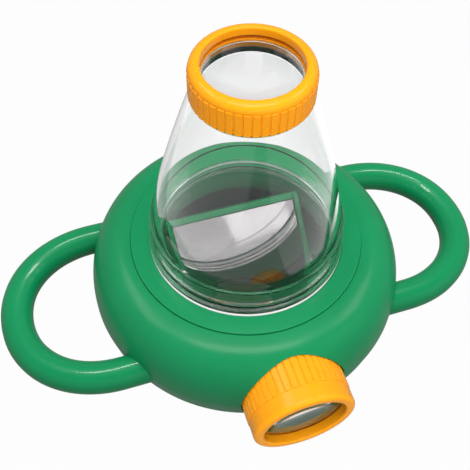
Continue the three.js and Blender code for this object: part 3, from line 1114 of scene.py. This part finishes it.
@dataclass
class MirrorBox:
    """Mirror, its bracket and the barrel of the side eyepiece."""

    shop: Workshop
    edge: float = 0.25

    def dressed_copy(self, node: str, name: str, slot: Slot) -> None:
        """Copies a CAD node, welds it, merges its flat faces and rounds its edges.

        Args:
            node: The CAD node.
            name: Name of the piece.
            slot: Its material slot.
        """
        take(frame["nodes"][node])
        bpy.ops.object.duplicate(linked=False)
        piece = bpy.context.object
        piece.name = name
        piece.parent = None
        with editing(piece):
            bpy.ops.mesh.select_all(action="SELECT")
            bpy.ops.mesh.remove_doubles(threshold=WELD)
            bpy.ops.mesh.dissolve_limited(angle_limit=math.radians(1.0))
        round_edges(piece, self.edge, degrees=30.0)
        self.shop.mount(smooth(piece), Body.HOUSING, slot, node)

    def build(self) -> None:
        """Builds and mounts the mirror, its bracket and the barrel."""
        self.dressed_copy("mirror", "mirror_plate", Slot.MIRROR)
        self.dressed_copy("mirror_bracket", "mirror_cradle", Slot.GREEN)
        self.dressed_copy("eyepiece_tube", "eyepiece_barrel", Slot.GREEN)


@dataclass
class Screws:
    """Pan-head screws with a cross recess, in millimetres."""

    shop: Workshop
    head_radius: float = 2.8
    head_height: float = 1.8
    head_rim: float = 0.6
    head_steps: int = 8
    shank_radius: float = 1.25
    tip: float = 1.6
    cross_width: float = 0.7
    cross_reach: float = 1.7
    cross_depth: float = 1.1

    def pattern(self, length: float) -> Piece:
        """One screw with its tip up and the underside of its head at z = 0.

        Args:
            length: Length of the shank.

        Returns:
            The screw.
        """
        crown_height = self.head_height - self.head_rim
        rim = Corner(0.0, -self.head_rim)
        crown = quarter(rim, self.head_radius, -crown_height, 90.0, 0.0, self.head_steps)
        profile = [
            *crown,
            Corner(self.head_radius, 0.0, 0.15),
            Corner(self.shank_radius, 0.0),
            Corner(self.shank_radius, length - self.tip),
            Corner(0.0, length),
        ]
        piece = turned("screw_pattern", profile, steps=40)
        for x, y in ((self.cross_reach, self.cross_width / 2), (self.cross_width / 2, self.cross_reach)):
            low = Vector((-x, -y, -2 * self.head_height)) * MM
            high = Vector((x, y, self.cross_depth - self.head_height)) * MM
            clear_selection()
            bpy.ops.mesh.primitive_cube_add(size=1.0, location=(low + high) / 2, scale=high - low)
            combine(piece, settle(bpy.context.object))
        return smooth(piece)

    def build(self) -> None:
        """Puts a screw in the place of each CAD screw."""
        for node in sorted(name for name in frame["nodes"] if "_screw_" in name):
            low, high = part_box(node)
            piece = self.pattern((high.z - low.z) / MM - self.head_height)
            piece.name = node.replace("_screw_", "_fastener_")
            middle = (low + high) / 2
            seat = low.z + self.head_height * MM
            if node.startswith("bracket"):
                piece.rotation_euler = (math.pi, 0.0, 0.0)
                seat = high.z - self.head_height * MM
            piece.location = (middle.x, middle.y, seat)
            self.shop.mount(settle(piece), Body.HOUSING, Slot.STEEL, node)


# Studio.


@dataclass
class Softbox:
    """Square lamp that looks at the viewer.

    Attributes:
        place: Place in metres.
        size: Width and height in metres.
        power: Power in watts.
        in_gloss: Whether it shows as a highlight.
        only_for: First letters of the names of the pieces that it lights, or nothing for all.
        table: Whether it is a white table top, which shines upwards and shows in gloss alone.
    """

    name: str
    place: Vector
    size: tuple[float, float]
    power: float
    in_gloss: bool = True
    only_for: tuple[str, ...] = ()
    table: bool = False

    def build(self, aim: Vector) -> None:
        """Hangs the lamp and turns it to a point."""
        clear_selection()
        bpy.ops.object.light_add(type="AREA", location=self.place)
        lamp = bpy.context.object
        lamp.name = self.name
        lamp.data.shape = "RECTANGLE"
        lamp.data.size, lamp.data.size_y = self.size
        lamp.data.energy = self.power
        back = Vector((0.0, 0.0, -1.0)) if self.table else self.place - aim
        lamp.rotation_euler = back.to_track_quat("Z", "Y").to_euler()
        lamp.visible_glossy = self.in_gloss
        lamp.visible_transmission = self.in_gloss and not self.table
        if self.only_for:
            lit = bpy.data.collections.new(f"lit_by_{self.name}")
            for piece in bpy.data.objects:
                if piece.name.startswith(self.only_for):
                    lit.objects.link(piece)
            lamp.light_linking.receiver_collection = lit


HANDLES = ("left_loop", "right_loop")
RINGS = ("top_fluted", "top_snap", "side_fluted")
CLEAR = ("clear_",)
REST = ("domed", "base", "seat", "clear", "top", "side", "mirror", "eyepiece", "studio")
LAMPS = (
    Softbox("overhead_softbox", Vector((0.0, 0.0, 1.15)), (0.70, 0.70), 5.6, in_gloss=False),
    Softbox("left_band_softbox", Vector((-0.50, 0.31, 0.92)), (0.65, 0.28), 1.7, only_for=REST),
    Softbox("front_band_softbox", Vector((-0.05, -0.20, 1.08)), (0.80, 0.30), 3.2, only_for=REST),
    Softbox("right_band_softbox", Vector((0.68, -0.05, 0.86)), (0.45, 0.28), 1.3, only_for=REST),
    Softbox("right_strip", Vector((0.28, 0.20, 1.03)), (0.30, 0.12), 2.6, only_for=HANDLES),
    Softbox("left_strip", Vector((-0.12, 0.24, 1.07)), (0.30, 0.12), 2.6, only_for=HANDLES),
    Softbox("front_softbox", Vector((0.10, -1.05, 0.45)), (0.60, 0.40), 2.2, in_gloss=False),
    Softbox("right_softbox", Vector((0.80, -0.65, 0.50)), (0.40, 0.50), 1.6, in_gloss=False),
    Softbox("ring_softbox", Vector((-0.35, -1.05, 0.28)), (0.50, 0.30), 4.0, in_gloss=False, only_for=RINGS),
    Softbox("mirror_card", Vector((0.298, -0.90, 0.764)), (0.196, 0.20), 0.13, only_for=CLEAR),
    Softbox("left_white_table", Vector((-0.62, 0.0, 0.001)), (1.0, 2.0), 6.0, only_for=CLEAR, table=True),
    Softbox("right_white_table", Vector((0.54, 0.0, 0.001)), (1.0, 2.0), 6.0, only_for=CLEAR, table=True),
)


@dataclass
class Studio:
    """White sweep, soft light and a camera at the photograph's viewing angle.

    Attributes:
        azimuth: Turn of the view about Z, in degrees, as elevation and roll.
        distance: From the camera to the aim in millimetres, as are the aim's own sizes.
        aim_height: Height of the aim above the table.
        aim_right: Shift of the aim to the right of the picture.
        aim_up: Shift of the aim up the picture.
        focal_pixels: Focal length in pixels of a picture that is picture_width wide.
        ambient: Level of the even light on the viewer.
        glossy_level: Level of the studio in the gloss of coloured plastic.
        backdrop_top: Sine of the elevation where the white backdrop starts to fade.
        ceiling_start: Sine of the elevation where the ceiling starts.
        ceiling: Level of the ceiling in reflections.
    """

    azimuth: float = -18.47
    elevation: float = 54.04
    roll: float = 1.22
    distance: float = 288.88
    aim_height: float = 42.0
    aim_right: float = -4.43
    aim_up: float = 0.83
    focal_pixels: float = 700.0
    picture_width: float = 470.0
    sensor: float = 36.0
    clip_start: float = 0.01
    ambient: float = 0.42
    glossy_level: float = 0.3
    backdrop_top: float = 0.50
    ceiling_start: float = 0.85
    ceiling: float = 0.15
    floor_radius: float = 3.0
    bounces: int = 24

    def camera(self) -> None:
        """Places the camera."""
        turn, lift, roll = (math.radians(a) for a in (self.azimuth, self.elevation, self.roll))
        back = Vector((math.sin(turn) * math.cos(lift), -math.cos(turn) * math.cos(lift), math.sin(lift)))
        level = Vector((math.cos(turn), math.sin(turn), 0.0))
        upright = back.cross(level)
        right = level * math.cos(roll) + upright * math.sin(roll)
        up = upright * math.cos(roll) - level * math.sin(roll)
        aim = Vector((0.0, 0.0, self.aim_height)) + level * self.aim_right + upright * self.aim_up
        clear_selection()
        bpy.ops.object.camera_add()
        camera = bpy.context.object
        camera.name = "photo_camera"
        axes = Matrix((right, up, back)).transposed().to_4x4()
        camera.matrix_world = Matrix.Translation((aim + back * self.distance) * MM) @ axes
        camera.data.sensor_width = self.sensor
        camera.data.lens = self.focal_pixels * self.sensor / self.picture_width
        camera.data.clip_start = self.clip_start
        bpy.context.scene.camera = camera

    def world(self) -> None:
        """Fills the studio with even light and a white background."""
        world = bpy.data.worlds.new("studio_world")
        bpy.context.scene.world = world
        tree = NodeTree(world)
        direction = tree.add("ShaderNodeTexCoord").outputs["Generated"]
        height = tree.add("ShaderNodeSeparateXYZ", {0: direction}).outputs["Z"]
        fade = (self.backdrop_top, self.ceiling_start)
        backdrop = tree.mapped(height, fade, 1.0, self.ceiling, interpolation_type="SMOOTHSTEP")
        shown = tree.total(backdrop, tree.level_in_gloss(self.glossy_level), Sum.TIMES)
        strength = tree.mapped(tree.seen(), UNIT, self.ambient, shown)
        values = {"Color": (1.0, 1.0, 1.0, 1.0), "Strength": strength}
        light = tree.add("ShaderNodeBackground", values).outputs["Background"]
        tree.add("ShaderNodeOutputWorld", {"Surface": light})

    def sweep(self) -> None:
        """Lays the floor under the viewer."""
        clear_selection()
        bpy.ops.mesh.primitive_circle_add(vertices=96, radius=self.floor_radius, fill_type="NGON")
        floor = bpy.context.object
        floor.name = "studio_floor"
        floor.data.materials.append(StudioFloor().build())

    def build(self) -> None:
        """Builds the floor, the light and the camera."""
        self.sweep()
        self.world()
        for lamp in LAMPS:
            lamp.build(Vector((0.0, 0.0, self.aim_height * MM)))
        self.camera()
        bpy.context.scene.view_settings.view_transform = "Standard"
        for kind in ("max_bounces", "transmission_bounces", "transparent_max_bounces"):
            setattr(bpy.context.scene.cycles, kind, self.bounces)


def main() -> None:
    """Builds the viewer and the studio round it."""
    logging.basicConfig(level=logging.INFO, format="%(name)s: %(message)s")
    materials = {slot: finish.build() for slot, finish in FINISHES.items()}
    shop = Workshop(materials, POLISHED_GREEN.build())
    Housing(shop).build()
    Handles(shop).build()
    Deck(shop).build()
    Chamber(shop).build()
    Eyepiece(
        shop, "top", Body.TOP_SEAT, Body.TOP_RING, place=Vector((0.0, 0.0, 134.1)), tilt=0.0,
        length=12.0, lip_depth=3.1, crown_width=3.0, crown_depth=2.6, collar=2.9,
        lens_front_bulge=0.6, lens_back_bulge=2.0,
    ).build()
    Eyepiece(
        shop, "side", Body.SIDE_SEAT, Body.SIDE_RING, place=Vector((0.0, -75.25, 21.3)), tilt=90.0,
        length=20.8, lip_depth=3.9, crown_width=1.8, crown_depth=1.8, collar=7.0,
        lens_front_bulge=2.0, lens_back_bulge=2.4,
    ).build()
    MirrorBox(shop).build()
    Screws(shop).build()
    Studio().build()


if __name__ == "__main__":
    main()
